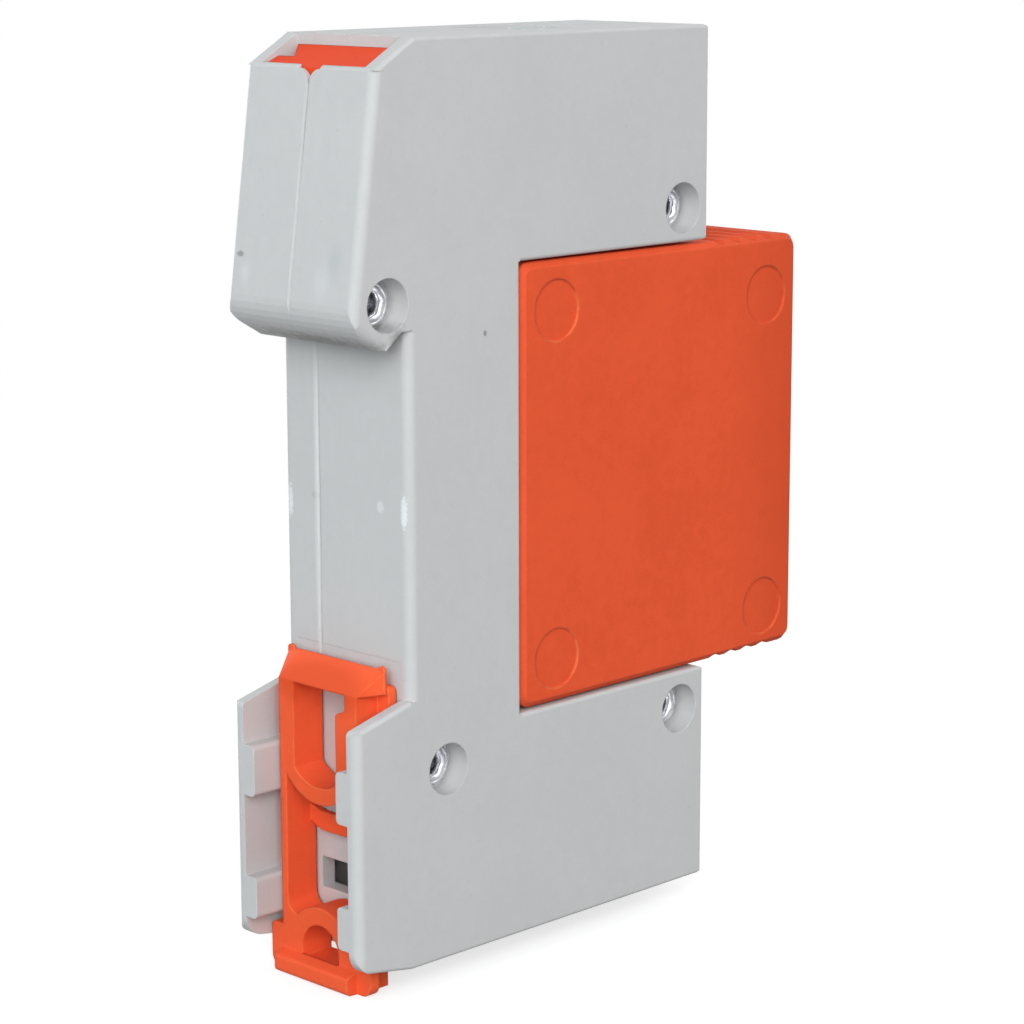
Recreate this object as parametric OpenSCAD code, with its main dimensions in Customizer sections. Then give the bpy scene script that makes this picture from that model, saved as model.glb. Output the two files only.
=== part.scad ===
// Pluggable surge arrester, one module wide, for a 35 mm top-hat rail.
// X runs along the rail, +Y points back to the rail, Z is up.
// The origin lies on the rail seat, mid-width, on the rail's centre line.

/* [Rail hook] */
// Height of the top-hat rail
rail_h = 35; // [34.5:0.1:35.5]
// Free height above the rail in the hook notch
rail_play = 0.3; // [0.2:0.05:0.4]
// Drop of the hook lip below the notch
lip_drop = 1.8; // [1.4:0.1:2.2]
// Distance of the lip's tip behind the rail seat
lip_reach = 2.9; // [2.5:0.1:3.2]

/* [Base housing] */
// Width along the rail
module_w = 18; // [17.6:0.1:20]
// Overall height of the base
body_h = 90; // [89:0.5:94]
// Depth from the rail seat to the front shoulders
front_depth = 42.4; // [42:0.1:46]
// Wall thickness of the half shells
wall = 1.7; // [1.5:0.05:1.9]
// Radius along the rear edges
rear_edge_r = 1; // [0.6:0.1:1.2]
// Radius along the other edges
edge_r = 0.4; // [0.2:0.05:0.5]
// Reach of the upper block behind the seat, at its chamfer
block_reach_top = 3.8; // [3.6:0.1:4.4]
// Reach of the upper block behind the seat, at its foot
block_reach_low = 7.1; // [6.6:0.05:7.4]
// Run of the top chamfer in front of the seat
chamfer_run = 1.2; // [0.8:0.1:1.6]
// Drop of the top chamfer
chamfer_drop = 2.9; // [2.4:0.1:3.2]
// Width of the column strip that the near shell carries past mid-width
split_jog = 3.9; // [3:0.1:5]

/* [Latch wings] */
// Reach of the wings behind the seat
wing_reach = 7.15; // [6.6:0.05:7.6]
// Thickness of a wing
wing_t = 1.4; // [1.2:0.1:1.6]
// Rise of the guide pads on the wings' inner faces
pad_rise = 1.6; // [1.3:0.1:1.8]
// Drop of the wings' upper edge from seat to rear
wing_slope = 1.85; // [1:0.05:2.5]

/* [Rivets] */
// Shank diameter of a hollow rivet
rivet_d = 3; // [2.6:0.1:3.4]
// Diameter of the counterbore around a rivet head
counterbore_d = 5.2; // [5:0.1:5.6]
// Depth of the counterbore
counterbore_depth = 2.8; // [2:0.1:3.2]

/* [Module bay] */
// Height of the bay
bay_h = 45.2; // [45:0.1:46]
// Height of the bay's middle above the rail's centre line
bay_mid = 0.5; // [0:0.1:0.8]
// Depth from the rail seat to the bay's back wall
bay_back = 15; // [14.8:0.1:16]

/* [Plug-in module] */
// Depth of the module
module_depth = 41.75; // [40.5:0.25:44]
// Wall thickness of the module's halves
module_wall = 1.5; // [1.3:0.1:1.7]
// Gap between the module and the bay
module_gap = 0.25; // [0.2:0.05:0.35]
// Narrowing of the module towards the front, on each side
grip_taper = 0.15; // [0.1:0.05:0.3]
// Number of grip grooves on each side
groove_count = 4; // [3:1:5]
// Depth of a grip groove
groove_depth = 0.45; // [0.3:0.05:0.55]
// Diameter of the round marks over the joining pins
mark_d = 6.2; // [5.6:0.1:6.6]

/* [Contacts] */
// Thickness of the module's blades
blade_t = 1.5; // [1.2:0.1:1.8]
// Height of a blade
blade_h = 7; // [6:0.1:7.4]
// Thickness of the contact bars
bar_t = 1.4; // [1.2:0.1:1.6]
// Width of the contact bars
bar_w = 7; // [6.6:0.1:7.6]

/* [Terminals] */
// Diameter of the clamp screw's shank
screw_d = 5; // [4.6:0.1:5.2]
// Diameter of the clamp screw's head
screw_head_d = 6.2; // [6:0.1:6.6]
// Height of the clamp screw's head
screw_head_h = 3.2; // [2.6:0.1:3.4]
// Travel of the clamp cage
clamp_travel = 6; // [4:0.1:6.4]
// Free space for the wire when the cage is open
wire_gap = 7.5; // [6.5:0.1:8]
// Place of the screw's axis, as a share of the terminal block's height from its end
screw_share = 0.484; // [0.46:0.002:0.5]

/* [Hidden] */
$fn = 48;
eps = 0.05;
slip = 0.1;
run_clear = 0.3;
seam = 0.3;

// Housing
half_w = module_w / 2;
top_z = body_h / 2;
bottom_z = -top_z;
front_y = -front_depth;
bay_y = -bay_back;
bay_top = bay_mid + bay_h / 2;
bay_bottom = bay_mid - bay_h / 2;
notch_z = rail_h / 2 + rail_play;
lip_z = notch_z - lip_drop;
notch_depth = 0.75;
hook_corner_z = notch_z + 0.6;
hook_corner_r = 3.2;
chamfer_z = top_z - chamfer_drop;
wing_top_z = -rail_h / 2 - 0.55;
wing_foot_z = bottom_z + 1.2;
wing_corner_r = 2.2;
wing_in = half_w - wing_t;
in_w = half_w - wall;
seat_top_z = lip_z - run_clear;
seat_relief = 0.02;

// Rear face of the upper block: its reach behind the seat at height z
function block_reach(z) =
    block_reach_low + (block_reach_top - block_reach_low) * (z - hook_corner_z) / (chamfer_z - hook_corner_z);

// Height of the top chamfer at depth y
function chamfer_at(y) = top_z - chamfer_drop * (y + chamfer_run) / (block_reach_top + chamfer_run);

// Height of the insert's face at depth y: under the recess front by its wall, nearly flush at the rear
function insert_face(y) =
    let (low = chamfer_at(recess_rear) - insert_sunk, high = top_z - recess_wall)
    high + (low - high) * (y - recess_front) / (recess_rear - recess_front);

// Rivet centres as [y, z]
rivet_wall = 1.1;
boss_r = counterbore_d / 2 + rivet_wall;
rivet_at = [
    [lip_reach - 0.45, notch_z + counterbore_d / 2],
    [front_y + boss_r + slip, bay_top + counterbore_d / 2 + 0.9],
    [front_y + boss_r + slip, bay_bottom - counterbore_d / 2 - 1.4],
    [-wall - counterbore_d / 2 - 0.7, bay_bottom - counterbore_d / 2 - 1]
];
rivet_gap = 0.06;
rivet_head_d = counterbore_d - 0.7;
rivet_head_t = 0.6;
rivet_hole_d = rivet_d - 1.1;

// Recess in the top chamfer and the insert that fills it
recess_front = -chamfer_run;
recess_rear = block_reach_top - 0.45;
recess_floor = chamfer_z - 6;
recess_wall = 1.05;
insert_sunk = 0.35;
insert_wall = 1.2;
key_w = 2.2;
key_d = 2.4;
key_sunk = 0.8;
flare_r = 1.45;
flare_gap = 0.1;

// Latch
latch_front = 0.25;
latch_rear = 4.1;
latch_half = 5.6;
flange_half = wing_in - 0.4;
flange_t = 0.95;
flange_y = latch_front + flange_t;
pad_in = wing_in - pad_rise;
pad_front = flange_y + run_clear;
pad_r = 0.5;
pads = [[wing_top_z - 5.95, 5.2], [bottom_z + 7.5, 4.3]];
nose_front = 1.3;
nose_top = -rail_h / 2 + 2.5;
nose_low = -rail_h / 2 + 0.1;
nose_half = 7;
nose_top_half = 5.2;
nub_w = 0.9;
nub_h = 0.35;
shoulder_z = -rail_h / 2 + 0.8;
window_half = 3.5;
lower_window_half = 4.75;
near_step = 0.5;
near_pad_half = 2.65;
spring_top = [wing_top_z - 9.55, 5];
spring_low = [wing_top_z - 11.25, 5.8];
leaf_z = wing_top_z - 13.25;
leaf_t = 1.9;
leaf_rear = 0.95;
eye_z = bottom_z + 0.6;
eye_r = 2.7;
eye_wall = 1.8;
eye_floor = bottom_z - 0.5;
foot_half = wing_in - run_clear;
foot_z = [bottom_z - 2.4, bottom_z + 2.2];
foot_front = 2.95;
lip_half = 5.35;
lip_rear = 5.5;
floor_hole = [4.2, bottom_z + 5.5, bottom_z + 8.7];

// Terminals, measured from the front wall backwards
head_front = front_y + wall + slip;
head_back = head_front + screw_head_h;
cage_t = 1.5;
cage_front = head_back + clamp_travel + 1.2;
tongue_front = cage_front + cage_t + run_clear;
tongue_rear = tongue_front + bar_t;
cage_back = tongue_rear + wire_gap;
cage_half = 5.2;
cage_side = 1.1;
cage_h = 8.8;
cage_hole_d = screw_d + 0.3;
access_d = screw_head_d - 0.4;
collar_d = screw_head_d + 0.6;
entry_half = cage_half - cage_side + run_clear;
term_z = top_z - screw_share * (top_z - bay_top);
function bar_end(end) = term_z + cage_h / 2 + 1 + (end < 0 ? 2 * bay_mid : 0);
guide_half = 2;
funnel_t = 0.9;
funnel_h = top_z - wall - bar_end(1) - 0.5;

// Plug-in module
mod_half = half_w - slip;
mod_in = mod_half - module_wall;
mod_rear = bay_y - module_gap;
mod_front = mod_rear - module_depth;
mod_top = bay_top - module_gap;
mod_bottom = bay_bottom + module_gap;
mod_in_rear = mod_rear - module_wall;
mod_in_front = mod_front + module_wall;
mod_in_top = mod_top - grip_taper - module_wall;
mod_in_bottom = mod_bottom + grip_taper + module_wall;
mod_corner_r = 1.5;
module_edge = 0.6;
groove_r = 1.1;
groove_pitch = 2.57;
mark_depth = 0.2;
pin_d = 2.5;
pin_boss_d = 5.4;
pin_len = 4.5;
pin_inset = 5;
pin_at = [
    [mod_rear - pin_inset, mod_top - pin_inset],
    [mod_rear - pin_inset, mod_bottom + pin_inset - 0.5],
    [mod_front + pin_inset, mod_top - pin_inset - 1.4],
    [mod_front + pin_inset, mod_bottom + pin_inset - 0.4]
];
shoulder_h = 0.8;
blade_in = mod_in_rear - 3.8;
mov_half = mod_top - bay_mid - pin_inset - pin_boss_d / 2 - run_clear;
blade_offset = mov_half - blade_h / 2 - shoulder_h;
mov_rear = blade_in - 1;
mov_x = [blade_t / 2, mod_in - run_clear];
lug_len = 9;

// Contacts
drop_front = bay_y + wall;
drop_rear = drop_front + bar_t;
bar_low = bay_mid + blade_offset - blade_h / 2 - 1.6;
clip_t = 0.8;
clip_len = 7.3;
clip_rear = drop_rear + clip_len;
clip_pinch = 0.05;
clip_h = blade_h - 0.6;
slot_half = blade_t / 2 + 0.65;
blade_tip = clip_rear - 2 * slip;

// Disconnector and window
pad_len = 6;
pad_inset = 4;
pad_z = bay_mid + blade_offset;
pad_box = [mov_rear - pad_inset - pad_len, mov_rear - pad_inset, pad_z - pad_len / 2, pad_z + pad_len / 2];
link_t = 0.5;
link_waist = 1.4;
link_inset = 0.5;
window_x = 3;
window_z = [bay_mid + 1.5, bay_mid + 6.5];
window_lip = 0.5;
flag_t = 1;
flag_lap = 0.4;
flag_front = mod_in_front + window_lip + run_clear;
flag_rear = flag_front + flag_t;
slider_z = [bay_mid + 1, bay_mid + 7];
slider_side = mod_in - run_clear;
slider_deep = blade_t / 2 + link_t + 0.35;
slider_back = 5.7;
slider_len = 10;
slider_y = [flag_rear + slider_back, flag_rear + slider_back + slider_len];
slider_arm = 1.6;
finger_t = 1.4;
finger_len = 4;
finger_rise = 2;
spring_peg = 2;
plate_front = flag_rear + run_clear;
plate_t = 0.8;
plate_lap = 0.5;
mov_gap = 2.35;
mov_front = plate_front + plate_t + mov_gap;
spring_x = -(slider_side + slider_deep) / 2;
spring_y = (slider_y[0] + slider_y[1]) / 2;
spring_r = 1.7;
spring_wire = 0.5;
spring_turns = 7;
spring_sides = 6;
spring_steps = 16;

// Shared shapes

// Extrudes a profile drawn in (y, z) along X between two places
module across(x0, x1) {
    translate([x0, 0, 0]) rotate([90, 0, 90]) linear_extrude(x1 - x0) children();
}

// Extrudes a profile drawn in (x, z) along Y between two places
module deep(y0, y1) {
    translate([0, y1, 0]) rotate([90, 0, 0]) linear_extrude(y1 - y0) children();
}

// A box between two corners
module box(a, b) {
    translate(a) cube(b - a);
}

// Points of a polygon whose corners [u, v, r] are rounded to radius r, with arcs of a few points
function unit(v) = v / norm(v);
function turn(a, b, c) = (b[0] - a[0]) * (c[1] - b[1]) - (b[1] - a[1]) * (c[0] - b[0]);
function corner(a, b, c, r, steps) =
    let (
        back = unit([a[0] - b[0], a[1] - b[1]]),
        on = unit([c[0] - b[0], c[1] - b[1]]),
        half = acos(back * on) / 2,
        mid = [b[0], b[1]] + unit(back + on) * r / sin(half),
        side = turn(a, b, c) > 0 ? 1 : -1,
        from = mid + r * side * [back[1], -back[0]] * -1,
        start = atan2(from[1] - mid[1], from[0] - mid[0]),
        sweep = side * (180 - 2 * half)
    )
    [for (i = [0:steps]) mid + r * [cos(start + sweep * i / steps), sin(start + sweep * i / steps)]];
function rounded(path, steps = 6) =
    let (n = len(path))
    [for (i = [0:n - 1])
        let (a = path[(i + n - 1) % n], b = path[i], c = path[(i + 1) % n])
        each (b[2] > 0 ? corner(a, b, c, b[2], steps) : [[b[0], b[1]]])];

// Cuts a quarter-round along the near flank of an outline edge from p to q, with the outside on the left
module edge_round(p, q, r, side) {
    run = norm(q - p);
    translate([-side, p[0], p[1]])
        rotate([atan2(p[0] - q[0], q[1] - p[1]), 0, 0])
            difference() {
                translate([-eps, -r, 0]) cube([r + eps, r + eps, run]);
                translate([r, -r, -eps]) cylinder(r = r, h = run + 2 * eps);
            }
}

// Cuts a 45 degree bevel at x along a convex outline edge from p to q and r past its ends, with the
// outside on the left; out is the side of x that is open, -1 or 1
module edge_bevel(p, q, r, x, out) {
    translate([x, p[0], p[1]])
        rotate([atan2(p[0] - q[0], q[1] - p[1]), 0, 0])
            translate([0, 0, -r])
                linear_extrude(norm(q - p) + 2 * r)
                    polygon([[out * r, r], [-2 * out * r, r], [out * r, -2 * r]]);
}

// Cuts a fine V groove along the split at x between two outline points
module seam_groove(p, q, x = 0) {
    translate([x, p[0], p[1]])
        rotate([atan2(p[0] - q[0], q[1] - p[1]), 0, 0])
            rotate([0, 0, 45])
                translate([-seam / 2, -seam / 2, 0]) cube([seam, seam, norm(q - p)]);
}

// Base housing

// Corners of the base outline as [y, z, corner radius, edge radius of the edge that follows]
base_path = [
    [0, bottom_z, 0, edge_r],
    [wing_reach, wing_foot_z, wing_corner_r, rear_edge_r],
    [wing_reach, wing_top_z - wing_slope, 0.5, edge_r],
    [0, wing_top_z, 0, rear_edge_r],
    [0, notch_z, 0, 0],
    [notch_depth, notch_z, 0, 0],
    [lip_reach, lip_z, 0.9, rear_edge_r],
    [block_reach_low, hook_corner_z, hook_corner_r, rear_edge_r],
    [block_reach_top, chamfer_z, 0.4, edge_r],
    [-chamfer_run, top_z, 0.4, edge_r],
    [front_y, top_z, 0.9, edge_r],
    [front_y, bay_top, 0.8, edge_r],
    [bay_y, bay_top, 0, edge_r],
    [bay_y, bay_bottom, 0, edge_r],
    [front_y, bay_bottom, 0.8, edge_r],
    [front_y, bottom_z, 0.9, edge_r]
];

// Hollow of the base, one wall inside its outline
module base_hollow() {
    rear = -wall;
    polygon([
        [rear, bottom_z + wall],
        [front_y + wall, bottom_z + wall],
        [front_y + wall, bay_bottom - wall],
        [bay_y + wall, bay_bottom - wall],
        [bay_y + wall, bay_top + wall],
        [front_y + wall, bay_top + wall],
        [front_y + wall, top_z - wall],
        [recess_front - wall, top_z - wall],
        [recess_front - wall, recess_floor - wall],
        [block_reach(recess_floor - wall) - wall, recess_floor - wall],
        [block_reach(bay_top + 2 * wall) - wall, bay_top + 2 * wall],
        [rear, bay_top + 2 * wall]
    ]);
}

// Wings that flank the latch, with guide pads; the floor between them is the seat plane
module latch_well() {
    difference() {
        box([-wing_in, 0, bottom_z - eps], [wing_in, wing_reach + eps, wing_top_z + run_clear]);
        for (s = [-1, 1], pad = pads)
            deep(pad_front, wing_reach + 2 * eps)
                polygon(rounded([
                    [s * (wing_in + eps), pad[0], 0],
                    [s * pad_in, pad[0], pad_r],
                    [s * pad_in, pad[0] - pad[1], pad_r],
                    [s * (wing_in + eps), pad[0] - pad[1], 0]
                ]));
    }
}

// Puts a terminal drawn for the upper end at the upper (+1) or lower (-1) end
module terminal_end(end) {
    if (end > 0) children();
    else translate([0, 0, 2 * bay_mid]) mirror([0, 0, 1]) children();
}

// Screw axis of an end, upper or lower
function screw_z(end) = end * term_z;

// Ring that guides a screw head, and ribs that guide its cage
module terminal_guides(end) {
    translate([0, front_y + eps, screw_z(end)]) rotate([-90, 0, 0])
        cylinder(d = collar_d + 2, h = head_back - front_y - 1);
    for (s = [-1, 1])
        translate([s * (in_w + cage_half + run_clear) / 2, (cage_front + cage_back) / 2, screw_z(end)])
            cube([in_w - cage_half - run_clear + eps, cage_back - cage_front + clamp_travel, 2 * guide_half], center = true);
}

// Funnel walls that lead the wire from the entry towards the cage
module wire_funnel(end) {
    z0 = end > 0 ? top_z - wall - funnel_h : bottom_z + eps;
    box(
        [-entry_half - funnel_t, tongue_rear + slip - funnel_t, z0],
        [entry_half + funnel_t, cage_back - slip + funnel_t, z0 + wall + funnel_h - eps]
    );
}

// Openings of one terminal: screw access, head pocket and wire entry
module terminal_openings(end) {
    translate([0, front_y - eps, screw_z(end)]) rotate([-90, 0, 0])
        cylinder(d = access_d, h = wall + 2 * eps);
    translate([0, front_y + wall, screw_z(end)]) rotate([-90, 0, 0])
        cylinder(d = collar_d, h = head_back - front_y);
    z0 = end > 0 ? top_z - wall - funnel_h - eps : bottom_z - eps;
    box([-entry_half, tongue_rear + slip, z0], [entry_half, cage_back - slip, z0 + wall + funnel_h + 2 * eps]);
    mouth_z = end > 0 ? top_z - 0.6 : bottom_z - eps;
    box([-entry_half - 0.7, tongue_rear - 0.6, mouth_z], [entry_half + 0.7, cage_back + 0.6, mouth_z + 0.6 + eps]);
}

// Three-cornered key in the far front corner of the recess, grown on all sides by a gap
module key_plan(gap) {
    polygon([
        [in_w + eps, recess_front - 2 * gap],
        [in_w - key_w - 2 * gap, recess_front + key_d + gap],
        [in_w + eps, recess_front + key_d + gap]
    ]);
}

// Recess for the insert: a pocket open to the top, and a flared slit down the split in its rear wall
module insert_recess() {
    box([-in_w, recess_front, recess_floor], [in_w, recess_rear, top_z + 1]);
    deep(recess_rear - eps, block_reach_low) difference() {
        translate([-flare_r - flare_gap, chamfer_z - flare_r - flare_gap])
            square([2 * (flare_r + flare_gap), flare_r + 1]);
        for (s = [-1, 1])
            translate([s * (flare_r + flare_gap), chamfer_z - flare_r - flare_gap]) circle(r = flare_r);
    }
}

// Half of the base housing on the near side of mid-width, without the jog of the split
module half_housing() {
    difference() {
        union() {
            difference() {
                across(-half_w, 0) polygon(rounded(base_path));
                across(-in_w, in_w) base_hollow();
            }
            intersection() {
                across(-half_w, 0) polygon(rounded(base_path));
                union() {
                    for (c = rivet_at)
                        translate([-half_w, c[0], c[1]]) rotate([0, 90, 0]) cylinder(r = boss_r, h = module_w);
                    for (end = [-1, 1]) {
                        terminal_guides(end);
                        wire_funnel(end);
                    }
                }
            }
        }
        latch_well();
        box([-wing_in, -seat_relief, bottom_z - eps], [wing_in, eps, nose_top + nub_h + run_clear]);
        box([-half_w - eps, -seat_relief, seat_top_z], [half_w + eps, eps, notch_z]);
        box([-floor_hole[0], -wall - eps, floor_hole[1]], [floor_hole[0], eps, floor_hole[2]]);
        insert_recess();
        for (end = [-1, 1]) terminal_openings(end);
        for (z = [bay_mid + blade_offset, bay_mid - blade_offset])
            box([-slot_half, bay_y - eps, z - blade_h / 2 - 1], [slot_half, bay_y + wall + eps, z + blade_h / 2 + 1]);
        for (c = rivet_at) {
            translate([-half_w - eps, c[0], c[1]]) rotate([0, 90, 0]) {
                cylinder(d = rivet_d + 2 * rivet_gap, h = module_w + 2 * eps);
                cylinder(d = counterbore_d, h = counterbore_depth + eps);
            }
        }
        for (i = [0:len(base_path) - 1]) {
            p = base_path[i];
            q = base_path[(i + 1) % len(base_path)];
            if (p[3] > 0) edge_round([p[0], p[1]], [q[0], q[1]], p[3], half_w);
        }
        seam_groove([block_reach_low, hook_corner_z], [block_reach_top, chamfer_z]);
        seam_groove([-chamfer_run, top_z], [front_y, top_z]);
        seam_groove([front_y, top_z], [front_y, bay_top]);
        seam_groove([front_y, bay_bottom], [front_y, bottom_z]);
        seam_groove([front_y, bottom_z], [0, bottom_z]);
    }
}

// Strip of the column wall that the near shell carries past mid-width
module jog_strip() {
    box([-eps, -wall, wing_top_z], [split_jog, 0, seat_top_z]);
}

module near_shell() {
    color([0.78, 0.79, 0.79]) difference() {
        union() {
            half_housing();
            jog_strip();
        }
        box([-eps, -seat_relief, wing_top_z - eps], [split_jog + eps, eps, nose_top + nub_h + run_clear]);
        seam_groove([0, wing_top_z], [0, seat_top_z], split_jog);
    }
}

module far_shell() {
    color([0.78, 0.79, 0.79]) difference() {
        union() {
            mirror([1, 0, 0]) half_housing();
            translate([0, 0, recess_floor - eps])
                linear_extrude(insert_face(recess_front + key_d) - key_sunk - recess_floor) key_plan(0);
        }
        box([-1, -wall, wing_top_z], [split_jog, 1, seat_top_z]);
        seam_groove([0, wing_top_z], [0, seat_top_z], split_jog);
    }
}

// Hollow rivet with rolled heads at both counterbore floors, turned about its own axis
module rivet() {
    seat = half_w - counterbore_depth;
    bead = rivet_head_t / 2;
    rotate([0, 90, 0]) rotate_extrude() {
        translate([rivet_hole_d / 2, -seat]) square([(rivet_d - rivet_hole_d) / 2, 2 * seat]);
        for (s = [-1, 1]) {
            translate([rivet_hole_d / 2 + bead, s > 0 ? seat : -seat - rivet_head_t])
                square([(rivet_head_d - rivet_hole_d) / 2 - 2 * bead, rivet_head_t]);
            for (x = [rivet_hole_d / 2 + bead, rivet_head_d / 2 - bead])
                translate([x, s * (seat + bead)]) circle(r = bead, $fn = 24);
        }
    }
}

module shell_rivets() {
    color([0.75, 0.76, 0.78])
        for (c = rivet_at) translate([0, c[0], c[1]]) rivet();
}

// Cap that fills the recess in the top chamfer, hollow from below and cut out round the key
module top_insert() {
    front = recess_front + slip;
    rear = recess_rear - slip;
    side = in_w - slip;
    color([0.93, 0.36, 0.2]) difference() {
        across(-side, side)
            polygon([
                [front, recess_floor],
                [rear, recess_floor],
                [rear, insert_face(rear)],
                [front, insert_face(front)]
            ]);
        translate([0, 0, recess_floor - eps]) linear_extrude(top_z - recess_floor) key_plan(slip);
        box(
            [-side + insert_wall, front + insert_wall, recess_floor - eps],
            [in_w - key_w - slip - insert_wall, rear - insert_wall, insert_face(rear) - 2 * insert_wall]
        );
    }
}

// Rail latch

// Opening between the nose and the bowed spring; the near rail is wider below a rounded step
module latch_upper_window() {
    step_z = nose_low - 2;
    bow_z = spring_top[0] + spring_top[1];
    intersection() {
        polygon(rounded([
            [window_half, nose_low - 0.1, 0],
            [window_half, spring_top[0] - 1, 0],
            [-near_pad_half, spring_top[0] - 1, 0],
            [-near_pad_half, step_z, 0.65],
            [-window_half - near_step, step_z, 0.65],
            [-window_half - near_step, nose_low - 0.1, 0]
        ]));
        union() {
            translate([0, bow_z]) circle(r = spring_top[1]);
            translate([-spring_top[1], bow_z]) square([2 * spring_top[1], nose_low - bow_z]);
        }
    }
}

// Opening between the bowed spring and the eye
module latch_lower_window() {
    difference() {
        polygon(rounded([
            [lower_window_half, spring_low[0] + spring_low[1], 0],
            [lower_window_half, eye_z + eye_r + 0.4, 1.4],
            [-lower_window_half, eye_z + eye_r + 0.4, 1.4],
            [-lower_window_half, spring_low[0] + spring_low[1], 0]
        ]));
        translate([0, eye_z]) circle(r = eye_r + eye_wall);
        translate([0, spring_low[0] + spring_low[1]]) circle(r = spring_low[1]);
    }
}

// Screwdriver eye: a round arch over a flat floor
module latch_eye() {
    intersection() {
        union() {
            translate([0, eye_z]) circle(r = eye_r);
            translate([-eye_r, eye_floor]) square([2 * eye_r, eye_z - eye_floor]);
        }
        translate([-eye_r - 1, eye_floor]) square(2 * eye_r + 2);
    }
}

module rail_latch() {
    color([0.93, 0.36, 0.2]) difference() {
        union() {
            deep(latch_front, latch_rear) difference() {
                polygon([
                    [-latch_half, nose_low],
                    [latch_half, nose_low],
                    [latch_half, foot_z[0]],
                    [-latch_half, foot_z[0]]
                ]);
                latch_upper_window();
                latch_lower_window();
            }
            hull() {
                box([-nose_half, nose_front, nose_low], [nose_half, nose_front + 0.05, nose_top - 0.1]);
                box([-nose_top_half, nose_front, nose_low], [nose_top_half, nose_front + 0.3, nose_top]);
                box([-latch_half, latch_rear - eps, nose_low - 0.1], [latch_half, latch_rear, nose_low]);
            }
            for (s = [-1, 1]) {
                deep(nose_front, nose_front + 0.3)
                    polygon(rounded([
                        [s * (nose_half - nub_w), nose_low, 0],
                        [s * nose_half, nose_low, 0],
                        [s * nose_half, nose_top + nub_h, 0.4],
                        [s * (nose_half - nub_w), nose_top + nub_h, 0.3]
                    ]));
                deep(latch_front, flange_y)
                    polygon(rounded([
                        [s * (latch_half - 0.5), shoulder_z, 0],
                        [s * flange_half, shoulder_z, 0.6],
                        [s * flange_half, foot_z[1] + 1, 0.6],
                        [s * (latch_half - 0.5), foot_z[1] + 1, 0]
                    ]));
            }
            box([-latch_half, latch_front, nose_low - 0.9], [latch_half, nose_front + eps, shoulder_z]);
            deep(latch_front, leaf_rear)
                polygon(rounded([
                    [-latch_half + 0.3, leaf_z + 0.6, 0],
                    [-latch_half + 0.3, leaf_z - leaf_t + 0.8, 0],
                    [-lower_window_half + 1.6, leaf_z - leaf_t, 1.5],
                    [lower_window_half - 1.6, leaf_z - leaf_t, 1.5],
                    [latch_half - 0.3, leaf_z - leaf_t + 0.8, 0],
                    [latch_half - 0.3, leaf_z + 0.6, 0],
                    [lower_window_half - 1.6, leaf_z, 1.5],
                    [-lower_window_half + 1.6, leaf_z, 1.5]
                ]));
            deep(foot_front, latch_rear)
                polygon(rounded([
                    [-foot_half, foot_z[0], 1.2],
                    [foot_half, foot_z[0], 1.2],
                    [foot_half, foot_z[1], 0.5],
                    [-foot_half, foot_z[1], 0.5]
                ]));
            across(-lip_half, lip_half)
                polygon(rounded([
                    [latch_rear - eps, eye_floor + 0.4, 0],
                    [lip_rear, eye_floor - 0.1, 0.4],
                    [lip_rear, foot_z[0] + 0.1, 0.5],
                    [latch_rear - eps, foot_z[0], 0]
                ]));
        }
        deep(-eps, latch_rear + eps) latch_eye();
    }
}

// Terminals and contacts, drawn for the upper end

// Bent bar: a tongue through the cage, a run over the bay wall and a drop behind the bay's back
module contact_bar(end) {
    run_z = bay_top + wall;
    color([0.8, 0.5, 0.32]) difference() {
        across(-bar_w / 2, bar_w / 2)
            polygon([
                [tongue_front, run_z],
                [drop_front, run_z],
                [drop_front, bar_low],
                [drop_rear, bar_low],
                [drop_rear, run_z + bar_t],
                [tongue_rear, run_z + bar_t],
                [tongue_rear, bar_end(end)],
                [tongue_front, bar_end(end)]
            ]);
        box(
            [-slot_half, drop_front - eps, bay_mid + blade_offset - blade_h / 2 - 0.8],
            [slot_half, drop_rear + eps, bay_mid + blade_offset + blade_h / 2 + 0.8]
        );
    }
}

// Spring clip: a slotted flange on the bar's back with two leaves that pinch the blade
module contact_clip() {
    mid = bay_mid + blade_offset;
    pinch = blade_t / 2 + clip_pinch;
    pinch_y = clip_rear - 2.4;
    flare = pinch + 0.85;
    leaf_t = 0.6;
    color([0.86, 0.83, 0.74]) {
        deep(drop_rear, drop_rear + clip_t) difference() {
            translate([-bar_w / 2, mid - blade_h / 2 - 1.4]) square([bar_w, blade_h + 2.8]);
            translate([-slot_half, mid - blade_h / 2 - 0.5]) square([2 * slot_half, blade_h + 1]);
        }
        for (s = [-1, 1])
            translate([0, 0, mid - clip_h / 2]) linear_extrude(clip_h)
                polygon([
                    [s * slot_half, drop_rear],
                    [s * (slot_half + leaf_t), drop_rear],
                    [s * (pinch + leaf_t), pinch_y],
                    [s * (flare + leaf_t), clip_rear],
                    [s * flare, clip_rear],
                    [s * pinch, pinch_y]
                ]);
    }
}

// Lift cage: a box open along the wire, with the threaded wall towards the screw head
module clamp_cage() {
    color([0.72, 0.73, 0.75]) translate([0, 0, term_z]) difference() {
        translate([0, 0, -cage_h / 2]) linear_extrude(cage_h) difference() {
            polygon(rounded([
                [-cage_half, cage_front, 1],
                [cage_half, cage_front, 1],
                [cage_half, cage_back + cage_t, 1],
                [-cage_half, cage_back + cage_t, 1]
            ]));
            translate([-cage_half + cage_side, cage_front + cage_t])
                square([2 * (cage_half - cage_side), cage_back - cage_front - cage_t]);
        }
        translate([0, cage_front - eps, 0]) rotate([-90, 0, 0]) cylinder(d = cage_hole_d, h = cage_t + 2 * eps);
    }
}

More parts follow.
